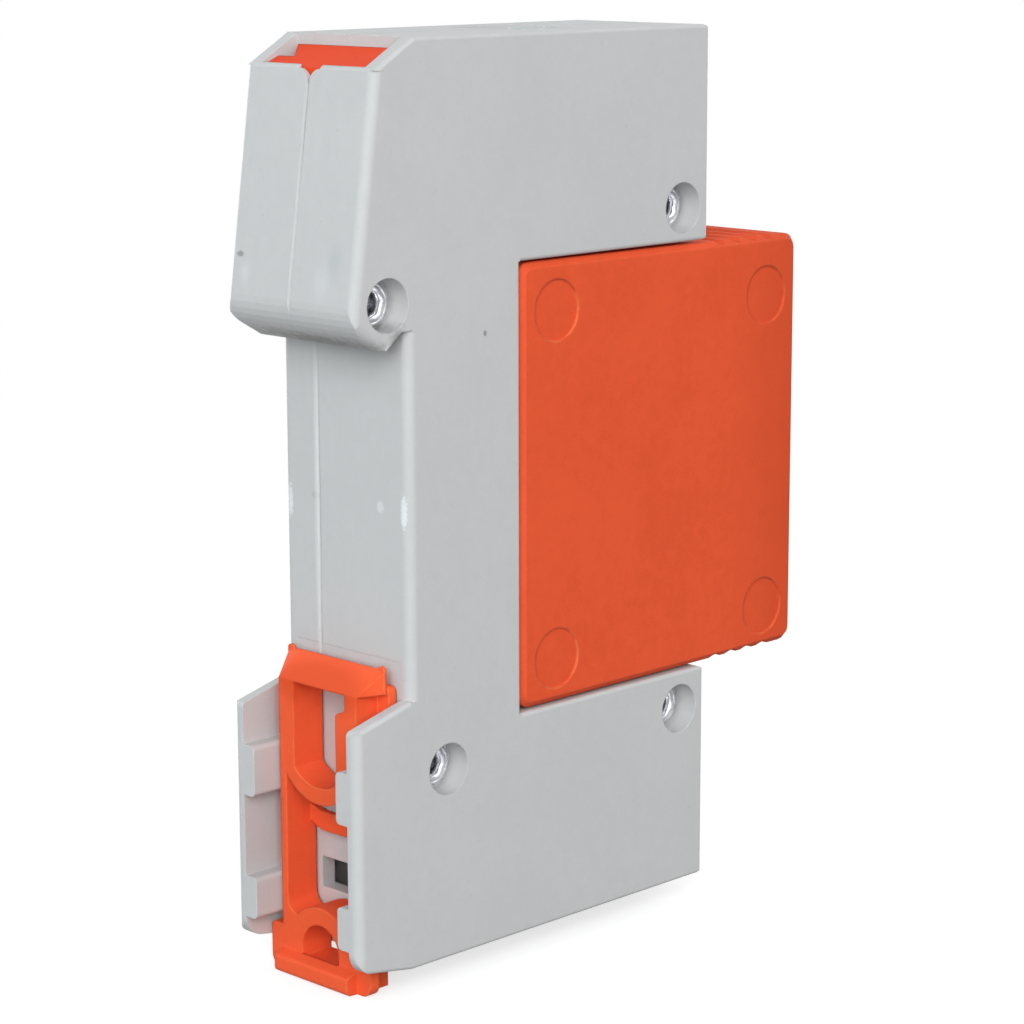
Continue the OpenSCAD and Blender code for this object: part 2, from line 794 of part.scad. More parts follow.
// Clamp screw with a slotted cross head; its tip meets the bar's tongue
module clamp_screw() {
    slot_d = 1.6;
    slot_w = 1;
    color([0.7, 0.71, 0.72]) translate([0, 0, term_z]) difference() {
        translate([0, head_front, 0]) rotate([-90, 0, 0]) {
            cylinder(d = screw_head_d, h = screw_head_h);
            cylinder(d = screw_d, h = tongue_front - slip - head_front);
        }
        for (a = [0, 90])
            rotate([0, a, 0])
                box([-screw_head_d, head_front - eps, -slot_w / 2], [screw_head_d, head_front + slot_d, slot_w / 2]);
    }
}

module upper_contact_bar() { terminal_end(1) contact_bar(1); }
module lower_contact_bar() { terminal_end(-1) contact_bar(-1); }
module upper_contact_clip() { terminal_end(1) contact_clip(); }
module lower_contact_clip() { terminal_end(-1) contact_clip(); }
module upper_clamp_cage() { clamp_cage(); }
module lower_clamp_cage() { mirror([0, 0, 1]) clamp_cage(); }
module upper_clamp_screw() { clamp_screw(); }
module lower_clamp_screw() { mirror([0, 0, 1]) clamp_screw(); }

// Plug-in module

// Corners of the module outline as [y, z, corner radius]
module_path = [
    [mod_rear, mod_bottom, mod_corner_r],
    [mod_rear, mod_top, mod_corner_r],
    [mod_front, mod_top - grip_taper, mod_corner_r],
    [mod_front, mod_bottom + grip_taper, mod_corner_r]
];
module_outline = rounded(module_path, 4);

// Depth of grip groove i, and the module's narrowing there
function groove_y(i) = front_y - groove_pitch * (i + 1);
function taper_at(y) = grip_taper * (mod_rear - y) / module_depth;

// Half of the module case on the near side of mid-width
module half_case() {
    difference() {
        union() {
            difference() {
                across(-mod_half, 0) polygon(module_outline);
                box([-mod_in, mod_in_front, mod_in_bottom], [mod_in, mod_in_rear, mod_in_top]);
            }
            for (c = pin_at)
                translate([-mod_in - eps, c[0], c[1]]) rotate([0, 90, 0]) cylinder(d = pin_boss_d, h = mod_in + eps);
        }
        for (i = [0:groove_count - 1], s = [-1, 1])
            translate([
                -half_w,
                groove_y(i),
                (s > 0 ? mod_top : mod_bottom) + s * (groove_r - groove_depth - taper_at(groove_y(i)))
            ]) rotate([0, 90, 0]) cylinder(r = groove_r, h = module_w);
        for (i = [0:len(module_outline) - 1]) {
            p = module_outline[i];
            q = module_outline[(i + 1) % len(module_outline)];
            edge_bevel(p, q, module_edge, -mod_half, -1);
            edge_bevel(p, q, seam / 2, 0, 1);
        }
        for (c = pin_at)
            translate([-mod_half, c[0], c[1]]) rotate([0, 90, 0]) cylinder(d = mark_d, h = 2 * mark_depth, center = true);
        for (z = [bay_mid + blade_offset, bay_mid - blade_offset])
            box(
                [-blade_t / 2 - slip, mod_in_rear - eps, z - blade_h / 2 - slip],
                [blade_t / 2 + slip, mod_rear + eps, z + blade_h / 2 + slip]
            );
        box(
            [-window_x - slip, mod_front - eps, window_z[0] - slip],
            [window_x + slip, mod_in_front + eps, window_z[1] + slip]
        );
    }
}

module module_near_half() {
    color([0.86, 0.33, 0.2]) difference() {
        half_case();
        for (c = pin_at)
            translate([-pin_len - run_clear, c[0], c[1]]) rotate([0, 90, 0])
                cylinder(d = pin_d + 0.3, h = pin_len + 1);
    }
}

module module_far_half() {
    color([0.86, 0.33, 0.2]) {
        mirror([1, 0, 0]) half_case();
        for (c = pin_at)
            translate([-pin_len, c[0], c[1]]) rotate([0, 90, 0]) cylinder(d = pin_d, h = pin_len + 1);
    }
}

// Coated block with rounded corners, flat against the lower blade and the solder pad
module varistor() {
    color([0.16, 0.27, 0.5]) across(mov_x[0], mov_x[1])
        polygon(rounded([
            [mov_front, bay_mid - mov_half, 2.5],
            [mov_rear, bay_mid - mov_half, 2.5],
            [mov_rear, bay_mid + mov_half, 2.5],
            [mov_front, bay_mid + mov_half, 2.5]
        ]));
}

// Plug blade at height z: bevelled tip, shoulders inside the case wall, tail of a given end
module plug_blade(z, tail) {
    h = blade_h / 2;
    across(-blade_t / 2, blade_t / 2)
        polygon([
            [blade_tip, z - h + 1],
            [blade_tip, z + h - 1],
            [blade_tip - 1, z + h],
            [mod_in_rear - slip, z + h],
            [mod_in_rear - slip, z + h + shoulder_h],
            [blade_in, z + h + shoulder_h],
            [blade_in, z + h - 1],
            [tail, z + h - 1],
            [tail, z - h + 1],
            [blade_in, z - h + 1],
            [blade_in, z - h - shoulder_h],
            [mod_in_rear - slip, z - h - shoulder_h],
            [mod_in_rear - slip, z - h],
            [blade_tip - 1, z - h]
        ]);
}

module upper_blade() {
    color([0.83, 0.81, 0.75]) plug_blade(bay_mid + blade_offset, blade_in - 0.4);
}

module lower_blade() {
    color([0.83, 0.81, 0.75]) plug_blade(bay_mid - blade_offset, mov_rear - lug_len);
}

module electrode_pad() {
    color([0.8, 0.78, 0.7])
        box([-blade_t / 2, pad_box[0], pad_box[2]], [blade_t / 2, pad_box[1], pad_box[3]]);
}

// Strip across the gap between the upper blade and the pad, waisted in the middle
module thermal_link() {
    z0 = pad_box[2] + 2 * link_inset;
    z1 = pad_box[3];
    waist = (pad_box[1] + blade_in) / 2;
    color([0.82, 0.52, 0.34]) across(-blade_t / 2 - link_t, -blade_t / 2)
        polygon([
            [pad_box[0] + link_inset, z0],
            [pad_box[1], z0],
            [waist, z0 + link_waist],
            [mod_in_rear - link_inset, z0 + link_waist],
            [mod_in_rear - link_inset, z1],
            [pad_box[0] + link_inset, z1]
        ]);
}

// Disconnector slider: spring block, side arm and the flag behind the window
module trip_slider() {
    color([0.2, 0.6, 0.3]) {
        box([-slider_side, slider_y[0], slider_z[0]], [-slider_deep, slider_y[1], slider_z[1]]);
        box([-slider_side, flag_front, slider_z[0]], [-slider_side + slider_arm, slider_y[0] + eps, slider_z[1]]);
        box([-slider_side, flag_front, slider_z[0]], [window_x + flag_lap, flag_rear, slider_z[1]]);
        box(
            [-slider_deep - finger_t, slider_y[1] - eps, slider_z[0] + finger_rise],
            [-slider_deep, slider_y[1] + finger_len, slider_z[1] - link_inset]
        );
        translate([spring_x, spring_y, slider_z[1] - eps])
            cylinder(r = spring_r - spring_wire / 2 - run_clear, h = spring_peg);
    }
}

// Coil between the slider and the case roof: a ring of points swept up a helix with flat end turns
coil_lay = spring_wire / 2 + 0.01;
coil_low = slider_z[1] + spring_wire / 2 + coil_lay + 0.01;
coil_high = mod_in_top - spring_wire / 2 - coil_lay - 0.01;
function coil_rise(t) = min(max((t * spring_turns - 1) / (spring_turns - 2), 0), 1);
function coil_point(t, a) =
    let (turn_a = 360 * spring_turns * t, r = spring_r + spring_wire / 2 * cos(a))
    [
        spring_x + r * cos(turn_a),
        spring_y + r * sin(turn_a),
        coil_low + (coil_high - coil_low) * coil_rise(t) + spring_wire / 2 * sin(a)
            + coil_lay * (min(t * spring_turns, 1) - min((1 - t) * spring_turns, 1))
    ];
module trip_spring() {
    rings = spring_turns * spring_steps;
    points = [for (k = [0:rings], j = [0:spring_sides - 1]) coil_point(k / rings, 360 * j / spring_sides)];
    sides = [for (k = [0:rings - 1], j = [0:spring_sides - 1])
        [
            k * spring_sides + j,
            k * spring_sides + (j + 1) % spring_sides,
            (k + 1) * spring_sides + (j + 1) % spring_sides,
            (k + 1) * spring_sides + j
        ]];
    ends = [
        [for (j = [spring_sides - 1:-1:0]) j],
        [for (j = [0:spring_sides - 1]) rings * spring_sides + j]
    ];
    color([0.7, 0.71, 0.73]) polyhedron(points, concat(sides, ends));
}

// Clear window with a lip behind the front wall
module status_window() {
    color([0.85, 0.9, 0.92, 0.5]) {
        box([-window_x, mod_front + 0.2, window_z[0]], [window_x, mod_in_front + eps, window_z[1]]);
        box(
            [-window_x - 0.8, mod_in_front, window_z[0] - 0.8],
            [window_x + 0.8, mod_in_front + window_lip, window_z[1] + 0.8]
        );
    }
}

module fault_plate() {
    color([0.78, 0.12, 0.1])
        box(
            [-window_x - flag_lap, plate_front, slider_z[0] - plate_lap],
            [mod_in - slip, plate_front + plate_t, slider_z[1] + plate_lap]
        );
}

near_shell();
far_shell();
shell_rivets();
rail_latch();
top_insert();
upper_contact_bar();
lower_contact_bar();
upper_contact_clip();
lower_contact_clip();
upper_clamp_cage();
lower_clamp_cage();
upper_clamp_screw();
lower_clamp_screw();
module_near_half();
module_far_half();
varistor();
upper_blade();
lower_blade();
electrode_pad();
thermal_link();
trip_slider();
trip_spring();
status_window();
fault_plate();
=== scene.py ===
"""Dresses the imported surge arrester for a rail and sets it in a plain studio.

Lengths are in metres in the part's own frame: +X runs along the rail, +Y points back to it, +Z is up.
"""
import logging
import math
from dataclasses import dataclass, field
from enum import Enum
from typing import Any, Dict, List, Mapping, Sequence, Tuple, Union

import bpy
import numpy as np
from mathutils import Matrix, Vector


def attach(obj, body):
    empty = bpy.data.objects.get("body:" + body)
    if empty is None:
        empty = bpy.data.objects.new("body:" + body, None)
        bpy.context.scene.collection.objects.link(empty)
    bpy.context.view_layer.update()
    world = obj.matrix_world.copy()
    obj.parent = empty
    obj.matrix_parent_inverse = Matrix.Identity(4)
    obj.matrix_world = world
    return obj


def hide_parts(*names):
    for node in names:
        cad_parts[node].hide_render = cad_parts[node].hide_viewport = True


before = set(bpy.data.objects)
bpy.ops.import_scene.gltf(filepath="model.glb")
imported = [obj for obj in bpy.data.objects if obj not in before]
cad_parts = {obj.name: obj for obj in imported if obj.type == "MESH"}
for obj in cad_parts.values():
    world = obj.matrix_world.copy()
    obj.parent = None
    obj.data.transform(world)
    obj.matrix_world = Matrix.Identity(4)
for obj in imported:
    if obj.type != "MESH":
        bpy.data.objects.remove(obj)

LOG = logging.getLogger("surge_arrester")
MM = 0.001

Colour = Tuple[float, float, float]
Point = Tuple[float, float, float]


class Slot(Enum):
    """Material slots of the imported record."""

    BASE = "base_plastic"
    MODULE = "module_plastic"
    LATCH = "latch_plastic"
    RIVET = "rivet_metal"
    STEEL = "plated_steel"
    COPPER = "contact_copper"
    TIN = "tinned_metal"
    VARISTOR = "varistor_coat"
    FLAG = "flag_plastic"
    FAULT = "fault_plastic"
    CLEAR = "clear_plastic"


class End(Enum):
    """The two wire terminals."""

    UPPER = "upper"
    LOWER = "lower"

    @property
    def sign(self) -> float:
        """Gives +1 for the upper end and -1 for the lower one."""
        return 1.0 if self is End.UPPER else -1.0


class Sock:
    """A shader value: arithmetic on it adds Math nodes to its graph."""

    def __init__(self, graph: "Graph", socket: bpy.types.NodeSocket) -> None:
        """Keeps the graph and the output socket."""
        self.graph = graph
        self.socket = socket

    def math(self, operation: str, first: Any, second: Any = 0.0) -> "Sock":
        """Adds one Math node.

        Args:
            operation: Name of the Math operation.
            first: First term, a number or a Sock.
            second: Second term, a number or a Sock.

        Returns:
            The node's value.
        """
        node = self.graph.add("ShaderNodeMath", {"operation": operation}, {0: first, 1: second})
        return Sock(self.graph, node.outputs[0])

    def __add__(self, other: "Term") -> "Sock":
        """Adds two values."""
        return self.math("ADD", self, other)

    def __radd__(self, other: float) -> "Sock":
        """Adds a number and a value."""
        return self.math("ADD", other, self)

    def __sub__(self, other: "Term") -> "Sock":
        """Takes a value from this one."""
        return self.math("SUBTRACT", self, other)

    def __rsub__(self, other: float) -> "Sock":
        """Takes this value from a number."""
        return self.math("SUBTRACT", other, self)

    def __mul__(self, other: "Term") -> "Sock":
        """Multiplies two values."""
        return self.math("MULTIPLY", self, other)

    def __rmul__(self, other: float) -> "Sock":
        """Multiplies a number and a value."""
        return self.math("MULTIPLY", other, self)

    def most(self, other: "Term") -> "Sock":
        """Gives the larger of two values."""
        return self.math("MAXIMUM", self, other)

    def step(self, low: float, high: float) -> "Sock":
        """Gives a smooth step from 0 at low to 1 at high.

        Args:
            low: Value at which the step starts.
            high: Value at which the step ends.

        Returns:
            The stepped value, from 0 to 1.
        """
        settings = {"interpolation_type": "SMOOTHSTEP"}
        inputs = {"Value": self, "From Min": low, "From Max": high}
        node = self.graph.add("ShaderNodeMapRange", settings, inputs)
        return Sock(self.graph, node.outputs["Result"])


Term = Union[Sock, float]


class Graph:
    """The node tree of one material or of the surroundings."""

    def __init__(self, owner: Union[bpy.types.Material, bpy.types.World]) -> None:
        """Empties the owner's node tree."""
        owner.use_nodes = True
        self.owner = owner
        self.tree = owner.node_tree
        self.tree.nodes.clear()

    def add(self, kind: str, settings: Mapping[str, Any], inputs: Mapping[Any, Any]) -> bpy.types.Node:
        """Adds one node.

        Args:
            kind: Type of the node.
            settings: Properties of the node, set before its sockets.
            inputs: Socket names or numbers with a value, a Sock or an output socket.

        Returns:
            The new node.
        """
        node = self.tree.nodes.new(kind)
        for key, value in settings.items():
            setattr(node, key, value)
        for key, value in inputs.items():
            self.feed(node.inputs[key], value)
        return node

    def feed(self, socket: bpy.types.NodeSocket, value: Any) -> None:
        """Links or sets one input socket.

        Args:
            socket: Input socket.
            value: A Sock, an output socket or a plain value.
        """
        if isinstance(value, Sock):
            self.tree.links.new(value.socket, socket)
        elif isinstance(value, bpy.types.NodeSocket):
            self.tree.links.new(value, socket)
        else:
            socket.default_value = value

    def place(self) -> bpy.types.NodeSocket:
        """Gives the object coordinates."""
        return self.add("ShaderNodeTexCoord", {}, {}).outputs["Object"]

    def stretch(self, at: bpy.types.NodeSocket, scale: Point) -> bpy.types.NodeSocket:
        """Gives coordinates scaled along each axis.

        Args:
            at: Coordinates.
            scale: Factor along X, Y and Z.

        Returns:
            The scaled coordinates.
        """
        node = self.add("ShaderNodeVectorMath", {"operation": "MULTIPLY"}, {0: at, 1: scale})
        return node.outputs[0]

    def noise(self, at: bpy.types.NodeSocket, size: float, detail: float = 2.0, swirl: float = 0.0) -> Sock:
        """Gives soft noise from 0 to 1.

        Args:
            at: Coordinates.
            size: Size of a patch.
            detail: Octaves of finer noise.
            swirl: Distortion of the pattern.

        Returns:
            The noise value.
        """
        inputs = {"Vector": at, "Scale": 1.0 / size, "Detail": detail, "Distortion": swirl}
        return Sock(self, self.add("ShaderNodeTexNoise", {}, inputs).outputs[0])

    def mix(self, factor: Term, first: Any, second: Any) -> bpy.types.NodeSocket:
        """Mixes two colours.

        Args:
            factor: Share of the second colour.
            first: Colour or colour socket.
            second: Colour or colour socket.

        Returns:
            The mixed colour.
        """
        node = self.add("ShaderNodeMix", {"data_type": "RGBA", "clamp_factor": True}, {0: factor})
        for number, value in ((6, first), (7, second)):
            self.feed(node.inputs[number], (*value, 1.0) if isinstance(value, tuple) else value)
        return node.outputs[2]

    def edges(self, radius: float) -> Tuple[bpy.types.NodeSocket, Sock]:
        """Rounds sharp edges in the shading.

        Args:
            radius: Radius of the rounding.

        Returns:
            The rounded normal, and a mask that is 0 on flat faces and grows towards edges.
        """
        round_normal = self.add("ShaderNodeBevel", {"samples": 6}, {"Radius": radius}).outputs[0]
        flat = self.add("ShaderNodeNewGeometry", {}, {}).outputs["Normal"]
        dot = self.add("ShaderNodeVectorMath", {"operation": "DOT_PRODUCT"}, {0: round_normal, 1: flat})
        return round_normal, 1.0 - Sock(self, dot.outputs["Value"])

    def bump(self, height: Sock, normal: Any = None) -> bpy.types.NodeSocket:
        """Turns a height into a normal.

        Args:
            height: Height of the surface in metres.
            normal: Normal to start from, if not the surface's own.

        Returns:
            The bumped normal.
        """
        inputs = {"Strength": 1.0, "Distance": 1.0, "Height": height}
        if normal is not None:
            inputs["Normal"] = normal
        return self.add("ShaderNodeBump", {}, inputs).outputs[0]

    def length(self, at: bpy.types.NodeSocket) -> Sock:
        """Gives the distance of coordinates from the origin."""
        node = self.add("ShaderNodeVectorMath", {"operation": "LENGTH"}, {0: at})
        return Sock(self, node.outputs["Value"])

    def seen(self) -> Sock:
        """Gives 1 for rays that come from the camera, a mirror or glass, and 0 for others."""
        rays = self.add("ShaderNodeLightPath", {}, {}).outputs
        mirrored = Sock(self, rays["Is Glossy Ray"]).most(Sock(self, rays["Is Transmission Ray"]))
        return Sock(self, rays["Is Camera Ray"]).most(mirrored)

    def blend(self, factor: Sock, first: bpy.types.Node, second: bpy.types.Node) -> bpy.types.Node:
        """Mixes two shaders.

        Args:
            factor: Share of the second shader.
            first: Node of one shader.
            second: Node of the other shader.

        Returns:
            The mixing node.
        """
        return self.add("ShaderNodeMixShader", {}, {0: factor, 1: first.outputs[0], 2: second.outputs[0]})

    def finish(self, **inputs: Any) -> bpy.types.Material:
        """Ends the tree in a Principled shader.

        Args:
            inputs: Sockets of the shader, with _ for a space.

        Returns:
            The material.
        """
        named = {key.replace("_", " "): value for key, value in inputs.items()}
        shader = self.add("ShaderNodeBsdfPrincipled", {}, named)
        self.add("ShaderNodeOutputMaterial", {}, {"Surface": shader.outputs[0]})
        return self.owner


@dataclass(frozen=True)
class MarkOrPaintedLight:
    """A scuff, speck, line, painted shade or painted highlight at one place on a moulding.

    Its tint shows by amount out to core times its reach and fades to nothing at its reach; ragged makes
    the outline uneven.
    """

    at: Point
    reach: Point
    tint: Colour
    amount: float = 0.6
    ragged: float = 0.9
    core: float = 0.55

    def mask(self, graph: Graph, place: bpy.types.NodeSocket) -> Sock:
        """Works out where the tint shows.

        The distance from its centre, counted in its reaches and made uneven by noise, steps down to 0.

        Args:
            graph: Graph of the material.
            place: Object coordinates.

        Returns:
            The mask, from 0 to amount.
        """
        away = graph.add("ShaderNodeVectorMath", {"operation": "SUBTRACT"}, {0: place, 1: self.at}).outputs[0]
        counted = graph.stretch(away, tuple(1.0 / reach for reach in self.reach))
        uneven = graph.noise(place, 0.5 * min(self.reach), 3.0) - 0.5
        return (1.0 - (graph.length(counted) + self.ragged * uneven).step(self.core, 1.0)) * self.amount


@dataclass(frozen=True)
class Moulding:
    """Moulded plastic: fine grain, faint clouding, specks, edges paled by rubbing and by a painted highlight,
    and single spots of wear and of painted light.
    """

    name: str
    colour: Colour
    shade: Colour
    rub_and_highlight_colour: Colour
    roughness: float = 0.5
    shine: float = 0.15
    grain: float = 0.16 * MM
    grain_depth: float = 0.0026 * MM
    peel: float = 1.3 * MM
    peel_depth: float = 0.006 * MM
    patch: float = 11.0 * MM
    edge: float = 0.16 * MM
    rub_and_highlight: float = 0.8
    speck: float = 0.12
    flow_size: float = 1.1 * MM
    flow_stretch: Point = (1.0, 0.35, 0.12)
    rub_and_highlight_size: float = 1.7 * MM
    speck_size: float = 0.55 * MM
    marks_and_painted_light: Tuple[MarkOrPaintedLight, ...] = field(default_factory=tuple)

    def make(self) -> bpy.types.Material:
        """Builds the material.

        The colour clouds between shade and colour, lightens on edges with rubbing and a painted highlight,
        and takes the specks and the single spots of wear and of painted light; the roughness follows the
        clouding and the orange-peel waves, and the bump adds both grains.

        Returns:
            The material.
        """
        graph = Graph(bpy.data.materials.new(self.name))
        at = graph.place()
        cloud = graph.noise(at, self.patch, 4.0, 0.4)
        flow = graph.noise(graph.stretch(at, self.flow_stretch), self.flow_size, 2.0, 0.6)
        peel = graph.noise(at, self.peel, 2.0)
        grain = graph.noise(at, self.grain, 2.0)
        rounded, edge = graph.edges(self.edge)
        # Edges pale from rubbing wear and from a painted highlight
        rub_and_highlight = edge.step(0.02, 0.30) * graph.noise(at, self.rub_and_highlight_size, 3.0).step(0.30, 0.60)
        speck = graph.noise(at, self.speck_size, 1.0).step(0.755, 0.79)
        mottle = 0.35 * cloud + 0.1 * flow + 0.25 * peel + 0.3 * grain
        colour = graph.mix(mottle.step(0.38, 0.62), self.shade, self.colour)
        colour = graph.mix(rub_and_highlight * self.rub_and_highlight, colour, self.rub_and_highlight_colour)
        colour = graph.mix(speck * self.speck, colour, tuple(0.45 * part for part in self.shade))
        # Scuffs, specks and lines, and painted shade and painted highlights, laid on in turn
        for mark_or_painted_light in self.marks_and_painted_light:
            colour = graph.mix(mark_or_painted_light.mask(graph, at), colour, mark_or_painted_light.tint)
        rough = self.roughness + 0.10 * (cloud - 0.5) + 0.12 * (peel - 0.5) + 0.08 * (grain - 0.5)
        height = grain * self.grain_depth + peel * self.peel_depth + flow * (0.3 * self.peel_depth)
        return graph.finish(
            Base_Color=colour, Roughness=rough - 0.08 * rub_and_highlight, Specular_IOR_Level=self.shine,
            Normal=graph.bump(height, rounded),
        )


@dataclass(frozen=True)
class Plating:
    """Plated or bare metal with drawn lines, dull spots and bright edges worn by rubbing."""

    name: str
    colour: Colour
    dull: Colour
    roughness: float = 0.28
    lines: Point = (1.0, 0.06, 1.0)
    line_size: float = 0.12 * MM
    depth: float = 0.0016 * MM
    edge: float = 0.12 * MM
    spot_size: float = 1.4 * MM

    def make(self) -> bpy.types.Material:
        """Builds the material.

        Noise drawn out along one axis gives the lines; a coarser noise gives the dull spots.

        Returns:
            The material.
        """
        graph = Graph(bpy.data.materials.new(self.name))
        at = graph.place()
        line = graph.noise(graph.stretch(at, self.lines), self.line_size, 3.0)
        spot = graph.noise(at, self.spot_size, 4.0, 0.8)
        rounded, edge = graph.edges(self.edge)
        dull = spot.step(0.46, 0.68) * (1.0 - edge.step(0.02, 0.25))
        colour = graph.mix(dull, self.colour, self.dull)
        rough = self.roughness + 0.16 * dull + 0.14 * (line - 0.5)
        height = line * self.depth + spot * (2.0 * self.depth)
        return graph.finish(
            Base_Color=colour, Metallic=1.0, Roughness=rough, Normal=graph.bump(height, rounded)
        )


@dataclass(frozen=True)
class DippedCoat:
    """Dipped epoxy: glossy, with runs and pinholes."""

    name: str
    colour: Colour
    thin: Colour
    edge: float = 0.5 * MM
    run_size: float = 2.6 * MM
    run_stretch: Point = (1.0, 1.0, 0.3)
    run_depth: float = 0.03 * MM
    pin_size: float = 0.5 * MM
    pin_depth: float = 0.01 * MM

    def make(self) -> bpy.types.Material:
        """Builds the material: runs along Z lift the colour and the bump, pinholes dent it."""
        graph = Graph(bpy.data.materials.new(self.name))
        at = graph.place()
        runs = graph.noise(graph.stretch(at, self.run_stretch), self.run_size, 3.0, 0.5)
        pin = graph.noise(at, self.pin_size, 1.0).step(0.7, 0.78)
        rounded, edge = graph.edges(self.edge)
        thinned = edge.step(0.02, 0.3) * 0.6 + runs.step(0.5, 0.75) * 0.3
        colour = graph.mix(thinned, self.colour, self.thin)
        height = runs * self.run_depth - pin * self.pin_depth
        return graph.finish(
            Base_Color=colour, Roughness=0.24 + 0.14 * runs + 0.2 * pin, Normal=graph.bump(height, rounded)
        )


@dataclass(frozen=True)
class ClearMoulding:
    """Clear moulded plastic with faint haze and fine scratches."""

    name: str
    colour: Colour
    bending: float = 1.49
    edge: float = 0.2 * MM
    haze_size: float = 2.2 * MM
    scratch_size: float = 0.08 * MM
    scratch_stretch: Point = (0.1, 1.0, 1.0)
    scratch_depth: float = 0.0006 * MM

    def make(self) -> bpy.types.Material:
        """Builds the material: haze and scratches change how much it hides, its roughness and its bump."""
        graph = Graph(bpy.data.materials.new(self.name))
        at = graph.place()
        haze = graph.noise(at, self.haze_size, 4.0)
        scratch = graph.noise(graph.stretch(at, self.scratch_stretch), self.scratch_size, 2.0)
        rounded, _ = graph.edges(self.edge)
        colour = graph.mix(haze.step(0.3, 0.7), self.colour, tuple(0.94 * part for part in self.colour))
        return graph.finish(
            Base_Color=colour, IOR=self.bending, Alpha=0.05 + 0.06 * haze,
            Roughness=0.04 + 0.10 * haze.step(0.45, 0.8) + 0.05 * scratch,
            Normal=graph.bump(scratch * self.scratch_depth, rounded),
        )


# In order: speck on the near flank; far scuff, dark nick, near scuff and pale spot on the column; smudge
# and speck on the upper block, then two painted highlights and a painted shade standing for dents there;
# painted shade in the upper split's groove; painted highlight and painted shade along the column's split;
# painted shade under the hook and in its notch
GREY_MARKS_AND_PAINTED_LIGHT = (
    MarkOrPaintedLight((-9.0 * MM, -10.2 * MM, 16.6 * MM), (0.5 * MM, 0.30 * MM, 0.34 * MM), (0.20, 0.19, 0.19), 0.75),
    MarkOrPaintedLight((8.2 * MM, 0.0, -0.5 * MM), (0.6 * MM, 0.7 * MM, 2.0 * MM), (0.80, 0.83, 0.84), 0.8, 1.4),
    MarkOrPaintedLight((4.3 * MM, 0.0, 0.4 * MM), (0.7 * MM, 0.4 * MM, 0.5 * MM), (0.42, 0.43, 0.43), 0.6),
    MarkOrPaintedLight((-8.2 * MM, 0.0, 0.3 * MM), (0.45 * MM, 0.6 * MM, 1.9 * MM), (0.80, 0.84, 0.86), 0.8, 1.3),
    MarkOrPaintedLight((-5.0 * MM, 0.0, 0.5 * MM), (0.6 * MM, 0.4 * MM, 0.7 * MM), (0.70, 0.72, 0.73), 0.7),
    MarkOrPaintedLight((7.5 * MM, 6.25 * MM, 24.35 * MM), (0.62 * MM, 0.5 * MM, 0.36 * MM), (0.27, 0.28, 0.27), 0.85),
    MarkOrPaintedLight((8.95 * MM, 6.0 * MM, 25.5 * MM), (0.4 * MM, 0.4 * MM, 0.30 * MM), (0.16, 0.16, 0.16), 0.8),
    # Two painted highlights and one painted shade that stand for dents on the upper block
    MarkOrPaintedLight((6.6 * MM, 6.5 * MM, 22.6 * MM), (1.0 * MM, 0.8 * MM, 1.6 * MM), (0.66, 0.68, 0.69), 0.5, 0.4, 0.0),
    MarkOrPaintedLight((-4.3 * MM, 6.5 * MM, 22.5 * MM), (1.8 * MM, 0.9 * MM, 2.4 * MM), (0.63, 0.65, 0.66), 0.5, 0.4, 0.0),
    MarkOrPaintedLight((-6.0 * MM, 6.2 * MM, 24.6 * MM), (1.5 * MM, 0.9 * MM, 3.2 * MM), (0.47, 0.50, 0.51), 0.6, 0.4, 0.0),
    # Painted shade in the groove of the upper split
    MarkOrPaintedLight(
        (-0.12 * MM, 4.6 * MM, 37.0 * MM), (0.2 * MM, 5.0 * MM, 10.0 * MM), (0.13, 0.13, 0.12),
        0.85, 0.35, 0.2,
    ),
    # Painted highlight, then painted shade, along the column's split
    MarkOrPaintedLight((4.2 * MM, 0.0, 0.0), (0.4 * MM, 0.6 * MM, 24.0 * MM), (0.68, 0.70, 0.70), 0.6, 0.3, 0.3),
    MarkOrPaintedLight((3.7 * MM, 0.0, 0.0), (0.2 * MM, 0.6 * MM, 24.0 * MM), (0.38, 0.39, 0.40), 0.6, 0.3, 0.2),
    # Painted shade under the hook and in its notch
    MarkOrPaintedLight((0.0, 4.4 * MM, 16.4 * MM), (14.0 * MM, 3.0 * MM, 1.7 * MM), (0.17, 0.17, 0.15), 0.7, 1.0, 0.1),
    MarkOrPaintedLight((0.0, 1.3 * MM, 17.3 * MM), (16.0 * MM, 1.7 * MM, 2.2 * MM), (0.10, 0.095, 0.085), 0.8, 0.5, 0.2),
)

# Broad painted shade, darker towards the module's front
ORANGE_PAINTED_SHADE = (
    MarkOrPaintedLight(
        (-9.0 * MM, -59.0 * MM, 0.0), (40.0 * MM, 15.0 * MM, 70.0 * MM), (0.60, 0.074, 0.026),
        0.7, 0.1, 0.0,
    ),
)

# Broad painted shade on the insert and on the latch's nose
LATCH_PAINTED_SHADE = (
    MarkOrPaintedLight((0.0, 0.0, 41.0 * MM), (14.0 * MM, 9.0 * MM, 7.0 * MM), (0.762, 0.055, 0.013), 0.8, 0.1, 0.6),
    MarkOrPaintedLight((0.0, 5.0 * MM, -17.0 * MM), (9.0 * MM, 5.0 * MM, 4.0 * MM), (0.722, 0.082, 0.023), 0.9, 0.1, 0.5),
)
